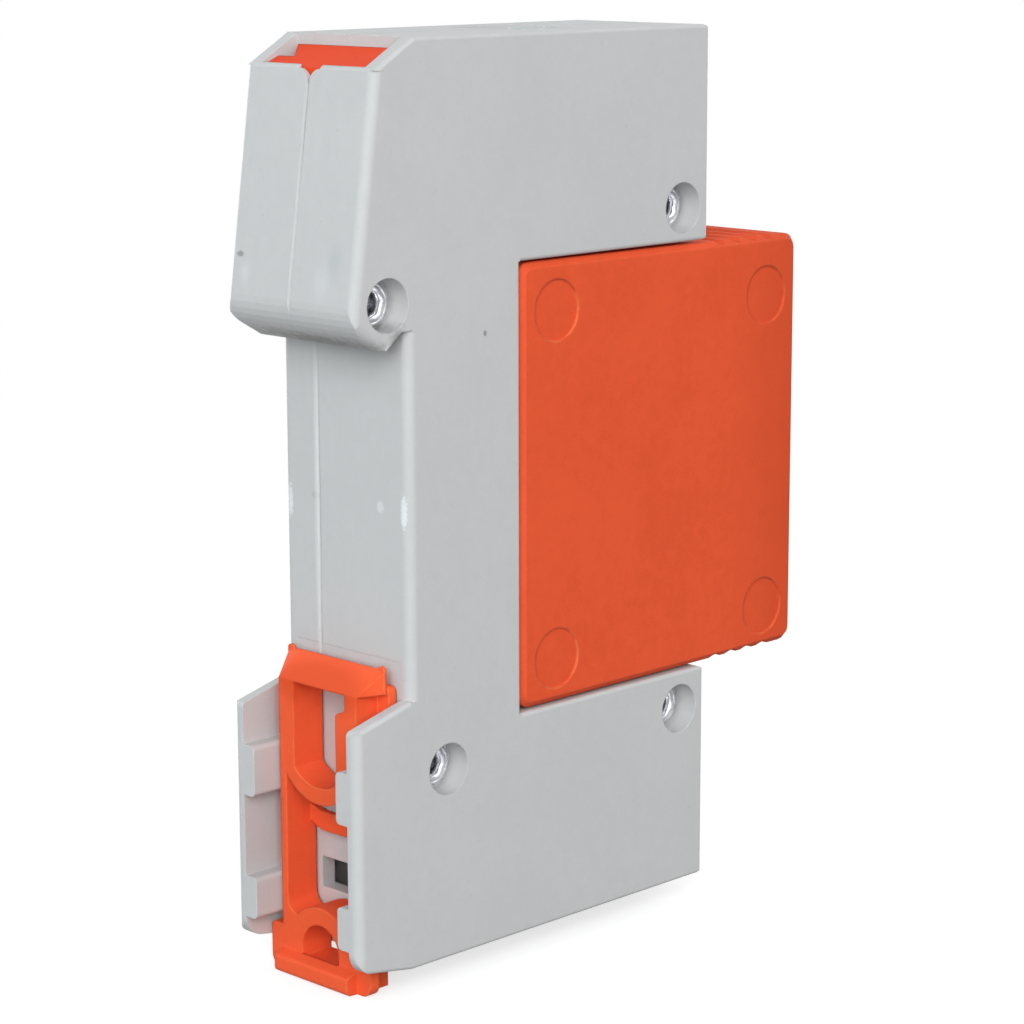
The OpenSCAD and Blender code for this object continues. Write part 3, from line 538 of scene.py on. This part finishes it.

# The third colour of each Moulding is its pale edge colour, for rubbing wear and a painted highlight
FINISHES = {
    Slot.BASE: Moulding(
        "grey_moulding", (0.564, 0.570, 0.571), (0.540, 0.547, 0.548), (0.74, 0.75, 0.75),
        roughness=0.50, marks_and_painted_light=GREY_MARKS_AND_PAINTED_LIGHT,
    ),
    Slot.MODULE: Moulding(
        "orange_case_moulding", (0.805, 0.105, 0.038), (0.740, 0.093, 0.033), (0.85, 0.25, 0.10),
        roughness=0.60, shine=0.05, grain_depth=0.0040 * MM, peel_depth=0.009 * MM, patch=8.0 * MM,
        edge=0.3 * MM, rub_and_highlight=0.9, marks_and_painted_light=ORANGE_PAINTED_SHADE,
    ),
    Slot.LATCH: Moulding(
        "orange_latch_moulding", (0.900, 0.121, 0.043), (0.860, 0.112, 0.038), (0.93, 0.25, 0.10),
        roughness=0.48, shine=0.06, grain_depth=0.0020 * MM, edge=0.3 * MM, marks_and_painted_light=LATCH_PAINTED_SHADE,
    ),
    Slot.RIVET: Plating(
        "rolled_rivet", (0.90, 0.90, 0.94), (0.68, 0.68, 0.72), 0.24, (1.0, 1.0, 1.0), 0.3 * MM, 0.004 * MM,
    ),
    Slot.STEEL: Plating("zinc_plate", (0.70, 0.71, 0.73), (0.50, 0.51, 0.52), 0.30),
    Slot.COPPER: Plating("bare_copper", (0.80, 0.42, 0.26), (0.52, 0.24, 0.14), 0.32, (1.0, 1.0, 0.06)),
    Slot.TIN: Plating("tin_plate", (0.62, 0.61, 0.58), (0.47, 0.46, 0.44), 0.40, (1.0, 0.08, 1.0)),
    Slot.VARISTOR: DippedCoat("dipped_coat", (0.020, 0.060, 0.210), (0.05, 0.12, 0.32)),
    Slot.FLAG: Moulding(
        "green_flag", (0.040, 0.340, 0.090), (0.030, 0.290, 0.075), (0.12, 0.45, 0.18), roughness=0.46,
    ),
    Slot.FAULT: Moulding(
        "red_plate", (0.700, 0.028, 0.020), (0.640, 0.024, 0.017), (0.75, 0.10, 0.08), roughness=0.46,
    ),
    Slot.CLEAR: ClearMoulding("clear_window", (0.55, 0.58, 0.58)),
}


class Wardrobe:
    """Makes each finish once and puts it on CAD nodes and new pieces."""

    def __init__(self) -> None:
        """Starts with no material made."""
        self.made: Dict[Slot, bpy.types.Material] = {}

    def material(self, slot: Slot) -> bpy.types.Material:
        """Gives the material of a slot, made on first use."""
        if slot not in self.made:
            self.made[slot] = FINISHES[slot].make()
        return self.made[slot]

    def wear(self, piece: bpy.types.Object, slot: Slot) -> None:
        """Puts a finish on an object in place of what it has.

        Args:
            piece: Mesh object.
            slot: Slot whose finish it gets.
        """
        piece.data.materials.clear()
        piece.data.materials.append(self.material(slot))

    def dress(self, slot: Slot, *nodes: str) -> None:
        """Puts a finish on CAD nodes.

        Args:
            slot: Slot whose finish they get.
            nodes: Names of the nodes.
        """
        for name in nodes:
            self.wear(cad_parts[name], slot)
            LOG.info("dressed %s as %s", name, slot.value)


class Surface:
    """Puts grids of points into meshes."""

    @staticmethod
    def faces(rows: int, columns: int, wrap_rows: bool, wrap_columns: bool) -> np.ndarray:
        """Numbers the four corners of each cell of a grid.

        Cell (i, j) takes points (i, j), (i + 1, j), (i + 1, j + 1) and (i, j + 1), counted round where
        the grid closes on itself.

        Args:
            rows: Number of rows of points.
            columns: Number of columns of points.
            wrap_rows: Whether the last row joins the first.
            wrap_columns: Whether the last column joins the first.

        Returns:
            An array of four point numbers for each face.
        """
        i, j = np.meshgrid(
            np.arange(rows if wrap_rows else rows - 1),
            np.arange(columns if wrap_columns else columns - 1),
            indexing="ij",
        )
        i, j = i.ravel(), j.ravel()
        here, below = i * columns, (i + 1) % rows * columns
        after = (j + 1) % columns
        return np.stack([here + j, below + j, below + after, here + after], 1)

    @classmethod
    def build(
        cls, name: str, grids: Sequence[np.ndarray], wrap_rows: bool, wrap_columns: bool
    ) -> bpy.types.Object:
        """Makes one object from grids of points.

        Args:
            name: Name of the piece.
            grids: Arrays of rows x columns x 3 coordinates.
            wrap_rows: Whether rows close on themselves.
            wrap_columns: Whether columns close on themselves.

        Returns:
            The new object, at the origin, with smooth faces that point outwards.
        """
        points, quads, count = [], [], 0
        for grid in grids:
            rows, columns = grid.shape[:2]
            points.append(grid.reshape(-1, 3))
            quads.append(cls.faces(rows, columns, wrap_rows, wrap_columns) + count)
            count += rows * columns
        every = np.concatenate(points)
        cells = np.concatenate(quads)
        mesh = bpy.data.meshes.new(name)
        mesh.vertices.add(len(every))
        mesh.vertices.foreach_set("co", every.astype(np.float32).ravel())
        mesh.loops.add(cells.size)
        mesh.loops.foreach_set("vertex_index", cells.astype(np.int32).ravel())
        mesh.polygons.add(len(cells))
        mesh.polygons.foreach_set("loop_start", np.arange(0, cells.size, 4, dtype=np.int32))
        mesh.polygons.foreach_set("use_smooth", np.ones(len(cells), dtype=bool))
        mesh.update(calc_edges=True)
        mesh.validate()
        piece = bpy.data.objects.new(name, mesh)
        bpy.context.scene.collection.objects.link(piece)
        return piece


def cut_corners(path: np.ndarray, times: int) -> np.ndarray:
    """Softens a closed path: each pass puts two points on every side, at a quarter from its ends.

    Args:
        path: Points of the closed path, one in each row.
        times: Number of passes.

    Returns:
        The softened path.
    """
    for _ in range(times):
        after = np.roll(path, -1, axis=0)
        pairs = np.stack([0.75 * path + 0.25 * after, 0.25 * path + 0.75 * after], 1)
        path = pairs.reshape(-1, path.shape[1])
    return path


@dataclass
class Housing:
    """The riveted grey base with its hollow rivets and the insert in its top chamfer."""

    wardrobe: Wardrobe
    seat: float = 6.2 * MM
    shank: float = 1.5 * MM
    hole: float = 0.95 * MM
    head: float = 2.25 * MM
    head_height: float = 0.6 * MM
    folds: int = 6
    fold_depth: float = 0.07 * MM
    fold_cap: float = 0.55
    fold_sway: float = 0.4
    fold_give: float = 0.33
    first_turn: float = 0.7
    turn_step: float = 1.9
    roll_radius: float = 1.62 * MM
    roll_width: float = 0.42 * MM
    sides: int = 72
    centres: Tuple[Tuple[float, float], ...] = (
        (2.45 * MM, 20.4 * MM), (-38.6 * MM, 26.6 * MM), (-38.6 * MM, -26.1 * MM), (-5.0 * MM, -25.7 * MM),
    )

    def section(self) -> np.ndarray:
        """Draws the closed section of a rivet as (x, radius), from the bore over one head and back.

        Returns:
            The softened section, one point in each row.
        """
        top = self.seat + self.head_height
        half = np.array([
            (0.55 * self.seat, self.hole),
            (self.seat - 0.3 * MM, self.hole),
            (self.seat + 0.10 * MM, self.hole + 0.04 * MM),
            (top - 0.10 * MM, self.hole + 0.25 * MM),
            (top, self.hole + 0.48 * MM),
            (top - 0.03 * MM, self.hole + 0.72 * MM),
            (top - 0.16 * MM, self.hole + 0.86 * MM),
            (top - 0.10 * MM, self.hole + 0.99 * MM),
            (top - 0.17 * MM, self.head - 0.12 * MM),
            (self.seat + 0.26 * MM, self.head),
            (self.seat + 0.02 * MM, self.head - 0.10 * MM),
            (self.seat + 0.01 * MM, self.shank + 0.10 * MM),
            (self.seat - 0.20 * MM, self.shank),
            (0.5 * self.seat, self.shank),
        ])
        other = half[::-1] * np.array([-1.0, 1.0])
        return cut_corners(np.concatenate([half, other]), 2)

    def rivet_grid(self, centre: Tuple[float, float], turn: float) -> np.ndarray:
        """Turns the section round the rivet's axis, with folds in the rolled heads.

        A point at (x, r) goes to (x + a w, y + r cos t, z + r sin t), where a is a sum of two cosines of
        t that is cut off at a cap, w is largest on the rolled rim, and r gives by a third as much.

        Args:
            centre: Place of the axis as (y, z).
            turn: Angle by which the folds are turned.

        Returns:
            The grid of points.
        """
        section = self.section()
        angle = np.linspace(0.0, 2.0 * math.pi, self.sides, endpoint=False)
        x, radius = section[:, :1], section[:, 1:]
        on_head = np.clip((np.abs(x) - self.seat) / self.head_height, 0.0, 1.0)
        rolled = on_head * np.exp(-((radius - self.roll_radius) / self.roll_width) ** 2)
        wave = np.cos(self.folds * angle + turn) + self.fold_sway * np.cos(2.0 * angle - 2.0 * turn)
        wave = np.minimum(wave, self.fold_cap)[None, :]
        fold = self.fold_depth * rolled * (wave - self.fold_cap)
        spread = radius + self.fold_give * fold
        return np.stack([
            x + np.sign(x) * fold,
            centre[0] + spread * np.cos(angle)[None, :],
            centre[1] + spread * np.sin(angle)[None, :],
        ], axis=2)

    def build_rivets(self) -> bpy.types.Object:
        """Makes the four hollow rivets that stand for the plain ones."""
        turns = [self.first_turn + self.turn_step * number for number in range(len(self.centres))]
        grids = [self.rivet_grid(centre, turn) for centre, turn in zip(self.centres, turns)]
        rivets = Surface.build("rolled_rivets", grids, True, True)
        self.wardrobe.wear(rivets, Slot.RIVET)
        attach(rivets, "base")
        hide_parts("shell_rivets")
        return rivets

    def build(self) -> None:
        """Dresses the shells and the insert and makes the rivets."""
        self.wardrobe.dress(Slot.BASE, "near_shell", "far_shell")
        self.wardrobe.dress(Slot.LATCH, "top_insert")
        LOG.info("built %s", self.build_rivets().name)


@dataclass
class RailLatch:
    """The orange sliding latch."""

    wardrobe: Wardrobe

    def build(self) -> None:
        """Dresses the latch."""
        self.wardrobe.dress(Slot.LATCH, "rail_latch")


@dataclass
class Terminal:
    """One wire terminal: bar, clip, lift cage and clamp screw with a cut thread."""

    wardrobe: Wardrobe
    end: End
    axis_z: float = 34.4004 * MM
    thread_front: float = -37.0 * MM
    thread_rear: float = -28.9 * MM
    core: float = 2.42 * MM
    crest: float = 2.59 * MM
    inside: float = 2.2 * MM
    pitch: float = 0.8 * MM
    steepness: float = 1.6
    root: float = 0.2
    rings: int = 122
    sides: int = 40

    def thread_grid(self) -> np.ndarray:
        """Works out the thread as a closed skin of rings along the screw.

        At angle t and depth y the radius rises from core to crest with the triangle wave of
        y / pitch - s t / 360, where s is +1 at the upper end and -1 at the lower one, faded out at both
        ends; two inner rings close the skin inside the shank.

        Returns:
            The grid of points.
        """
        y = np.linspace(self.thread_front, self.thread_rear, self.rings)[:, None]
        angle = np.linspace(0.0, 2.0 * math.pi, self.sides, endpoint=False)[None, :]
        share = np.mod(y / self.pitch - self.end.sign * angle / (2.0 * math.pi), 1.0)
        ridge = np.clip(self.steepness * (1.0 - np.abs(2.0 * share - 1.0)) - self.root, 0.0, 1.0)
        run = np.minimum(y - self.thread_front, self.thread_rear - y) / self.pitch
        radius = self.core + (self.crest - self.core) * ridge * np.clip(run, 0.0, 1.0)
        depth = np.broadcast_to(y, radius.shape)
        ring = np.full((1, angle.shape[1]), self.inside)
        radius = np.concatenate([ring, radius, ring])
        depth = np.concatenate([depth[:1], depth, depth[-1:]])
        return np.stack([
            radius * np.cos(angle),
            depth,
            self.end.sign * self.axis_z + radius * np.sin(angle),
        ], axis=2)[::-1]

    def build_thread(self) -> bpy.types.Object:
        """Makes the thread that sits on the screw's shank."""
        name = self.end.value
        thread = Surface.build(f"{name}_screw_thread", [self.thread_grid()], True, True)
        self.wardrobe.wear(thread, Slot.STEEL)
        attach(thread, f"{name}_screw")
        return thread

    def build(self) -> None:
        """Dresses the terminal's parts and makes the thread."""
        name = self.end.value
        self.wardrobe.dress(Slot.COPPER, f"{name}_contact_bar")
        self.wardrobe.dress(Slot.TIN, f"{name}_contact_clip")
        self.wardrobe.dress(Slot.STEEL, f"{name}_clamp_cage", f"{name}_clamp_screw")
        LOG.info("built %s", self.build_thread().name)


@dataclass
class PlugModule:
    """The orange plug-in module with its varistor, disconnector and status window."""

    wardrobe: Wardrobe
    coil_x: float = -4.35 * MM
    coil_y: float = -43.0 * MM
    coil_low: float = 7.51 * MM
    coil_high: float = 21.19 * MM
    coil_radius: float = 1.7 * MM
    wire: float = 0.5 * MM
    turns: int = 7
    steps_a_turn: int = 36
    wire_sides: int = 12
    taper_rate: float = 24.0
    tip: float = 0.02

    def coil_grid(self) -> np.ndarray:
        """Carries a round wire section along a helix with closed end turns.

        At share s of the wire the angle is 2 pi turns s. The height rises by half a wire over each end
        turn and evenly between them; the section at angle a adds half a wire of cos a to the radius and
        of sin a to the height. The wire tapers to a point over a short tip at each end.

        Returns:
            The grid of points, one row for each place along the wire.
        """
        share = np.linspace(0.0, 1.0, self.steps_a_turn * self.turns + 1)[:, None]
        section = np.linspace(0.0, 2.0 * math.pi, self.wire_sides, endpoint=False)[None, :]
        along = share * self.turns
        lay = 0.5 * self.wire
        low = self.coil_low + self.wire
        high = self.coil_high - self.wire
        free = np.clip((along - 1.0) / (self.turns - 2), 0.0, 1.0)
        ends = np.minimum(along, 1.0) - np.minimum(self.turns - along, 1.0)
        height = low + (high - low) * free + lay * ends
        taper = np.clip(np.minimum(along, self.turns - along) * self.taper_rate, self.tip, 1.0)
        reach = self.coil_radius + lay * taper * np.cos(section)
        angle = 2.0 * math.pi * along
        return np.stack([
            self.coil_x + reach * np.cos(angle),
            self.coil_y + reach * np.sin(angle),
            height + lay * taper * np.sin(section),
        ], axis=2)

    def build_coil(self) -> bpy.types.Object:
        """Makes the round-wire coil that stands for the faceted one."""
        coil = Surface.build("disconnector_coil", [self.coil_grid()], False, True)
        self.wardrobe.wear(coil, Slot.STEEL)
        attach(coil, "plug_module")
        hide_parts("trip_spring")
        return coil

    def build(self) -> None:
        """Dresses the module's parts and makes the coil."""
        self.wardrobe.dress(Slot.MODULE, "module_near_half", "module_far_half")
        self.wardrobe.dress(Slot.VARISTOR, "varistor")
        self.wardrobe.dress(Slot.TIN, "upper_blade", "lower_blade", "electrode_pad")
        self.wardrobe.dress(Slot.COPPER, "thermal_link")
        self.wardrobe.dress(Slot.FLAG, "trip_slider")
        self.wardrobe.dress(Slot.FAULT, "fault_plate")
        self.wardrobe.dress(Slot.CLEAR, "status_window")
        LOG.info("built %s", self.build_coil().name)


def grey(value: float) -> Tuple[float, float, float, float]:
    """Gives a neutral opaque colour."""
    return (value, value, value, 1.0)


@dataclass(frozen=True)
class SoftLamp:
    """A square soft lamp that looks at the part."""

    name: str
    place: Point
    size: float
    watts: float
    colour: Colour = (1.0, 1.0, 1.0)

    def build(self, target: Vector) -> None:
        """Makes the lamp and turns it to the target.

        Args:
            target: Point that the lamp looks at.
        """
        lamp = bpy.data.lights.new(self.name, "AREA")
        lamp.shape = "SQUARE"
        lamp.size = self.size
        lamp.energy = self.watts
        lamp.color = self.colour
        holder = bpy.data.objects.new(self.name, lamp)
        holder.location = self.place
        holder.rotation_euler = (target - Vector(self.place)).to_track_quat("-Z", "Y").to_euler()
        bpy.context.scene.collection.objects.link(holder)


@dataclass
class Studio:
    """Pale floor, soft lamps, white surroundings and the camera."""

    floor_z: float = -47.42 * MM
    floor_reach: float = 6.0
    fade: Tuple[float, float] = (0.05, 0.30)
    floor_plain: float = 0.25
    floor_shaded: float = 0.45
    floor_lift: float = 0.68
    aim: Point = (0.0, -0.02, 0.0)
    sensor: float = 36.0
    clip: Tuple[float, float] = (0.01, 50.0)
    ambient: Colour = (0.25, 0.25, 0.255)
    eye: Point = (-0.212349, 0.190109, 0.056703)
    azimuth: float = 224.922
    elevation: float = 11.408
    roll: float = -0.151
    lens: float = 105.45
    lamps: Tuple[SoftLamp, ...] = (
        SoftLamp("key_lamp", (-0.65, 0.69, 0.38), 0.8, 10.0),
        SoftLamp("rear_lamp", (-0.05, 0.92, 0.45), 0.8, 1.9, (0.65, 0.90, 1.0)),
        SoftLamp("flank_lamp", (-0.85, -0.15, 0.60), 0.8, 2.4),
        SoftLamp("front_lamp", (0.15, -1.05, 0.22), 0.8, 6.0),
        SoftLamp("far_lamp", (1.05, 0.10, 0.22), 0.8, 6.0),
    )

    def build_camera(self) -> None:
        """Places the camera from its turn round Z, its tilt and its roll."""
        camera = bpy.data.cameras.new("camera")
        camera.sensor_width = self.sensor
        camera.lens = self.lens
        camera.clip_start, camera.clip_end = self.clip
        holder = bpy.data.objects.new("camera", camera)
        turn = Matrix.Rotation(math.radians(self.azimuth), 4, "Z")
        tilt = Matrix.Rotation(math.radians(90.0 - self.elevation), 4, "X")
        roll = Matrix.Rotation(math.radians(self.roll), 4, "Z")
        holder.matrix_world = Matrix.Translation(Vector(self.eye)) @ turn @ tilt @ roll
        bpy.context.scene.collection.objects.link(holder)
        bpy.context.scene.camera = holder

    def build_world(self) -> None:
        """Makes surroundings that light the part softly and look white."""
        world = bpy.data.worlds.new("studio")
        graph = Graph(world)
        soft = graph.add("ShaderNodeBackground", {}, {"Color": (*self.ambient, 1.0)})
        white = graph.add("ShaderNodeBackground", {}, {"Color": grey(1.0)})
        mixed = graph.blend(graph.seen(), soft, white)
        graph.add("ShaderNodeOutputWorld", {}, {"Surface": mixed.outputs[0]})
        bpy.context.scene.world = world

    def build_floor(self) -> bpy.types.Object:
        """Makes the floor: pale to the part, white to the eye, with the part's shadow fading into it.

        Returns:
            The floor.
        """
        reach = self.floor_reach
        grid = np.array([
            [(-reach, -reach, self.floor_z), (-reach, reach, self.floor_z)],
            [(reach, -reach, self.floor_z), (reach, reach, self.floor_z)],
        ])
        floor = Surface.build("floor", [grid], False, False)
        graph = Graph(bpy.data.materials.new("pale_floor"))
        plain = graph.add("ShaderNodeBsdfDiffuse", {}, {"Color": grey(self.floor_plain)})
        shaded = graph.add("ShaderNodeBsdfDiffuse", {}, {"Color": grey(self.floor_shaded)})
        lift = graph.add("ShaderNodeEmission", {}, {"Color": grey(self.floor_lift)})
        white = graph.add("ShaderNodeEmission", {}, {"Color": grey(1.0)})
        near = graph.add("ShaderNodeAddShader", {}, {0: shaded.outputs[0], 1: lift.outputs[0]})
        away = graph.length(graph.stretch(graph.place(), (1.0, 1.0, 0.0)))
        faded = graph.blend(away.step(*self.fade), near, white)
        mixed = graph.blend(graph.seen(), plain, faded)
        graph.add("ShaderNodeOutputMaterial", {}, {"Surface": mixed.outputs[0]})
        floor.data.materials.append(graph.owner)
        return floor

    def build(self) -> None:
        """Builds the whole studio."""
        bpy.context.scene.view_settings.view_transform = "Standard"
        self.build_camera()
        self.build_world()
        LOG.info("built %s", self.build_floor().name)
        for lamp in self.lamps:
            lamp.build(Vector(self.aim))


def main() -> None:
    """Builds the sub-assemblies and the studio in order."""
    logging.basicConfig(level=logging.INFO, format="%(message)s")
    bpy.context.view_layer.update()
    wardrobe = Wardrobe()
    Studio().build()
    Housing(wardrobe).build()
    RailLatch(wardrobe).build()
    for end in End:
        Terminal(wardrobe, end).build()
    PlugModule(wardrobe).build()


if __name__ == "__main__":
    main()
